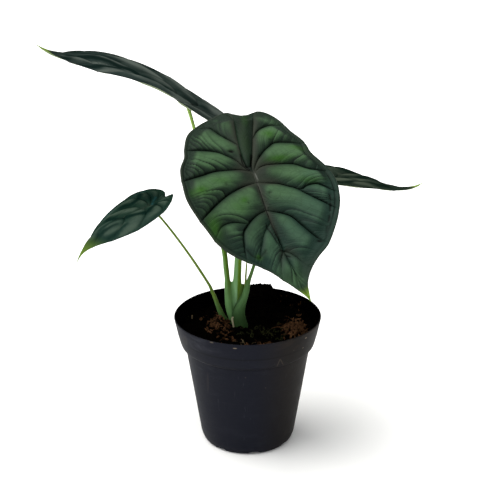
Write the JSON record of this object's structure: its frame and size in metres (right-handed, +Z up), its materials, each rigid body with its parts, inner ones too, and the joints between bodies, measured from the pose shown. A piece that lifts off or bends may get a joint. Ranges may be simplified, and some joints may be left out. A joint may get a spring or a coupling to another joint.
{
  "type": "potted alocasia",
  "caption": "Small alocasia with quilted, shield-shaped grey-green blades on slender stalks, growing in peat in a plain round black nursery pot.",
  "frame": {"origin": "centre of the pot's flat underside, where the pot stands", "axes": "+Z up along the pot's axis; -Y towards the viewer of the front blade; +X to that viewer's right"},
  "size_m": [0.3168, 0.2492, 0.3206],
  "materials": {
    "pot": "matt black thin-walled plastic with faint scuffs",
    "soil": "dark moist peat with coir chips and a little moss",
    "stalk": "smooth pale green leaf stalk",
    "olive_stalk": "smooth olive leaf stalk",
    "shoot": "smooth yellow-green rolled new leaf",
    "blade": "quilted dark grey-green leaf with sunken veins and a satin sheen"
  },
  "bodies": {
    "root": {"pot": "pot", "soil": "soil", "petiole_front": "stalk", "petiole_high_left": "stalk", "petiole_right": "stalk", "petiole_low_left": "olive_stalk", "new_shoot": "shoot", "blade_front": "blade", "blade_high_left": "blade", "blade_right": "blade", "blade_low_left": "blade"}
  },
  "joints": []
}
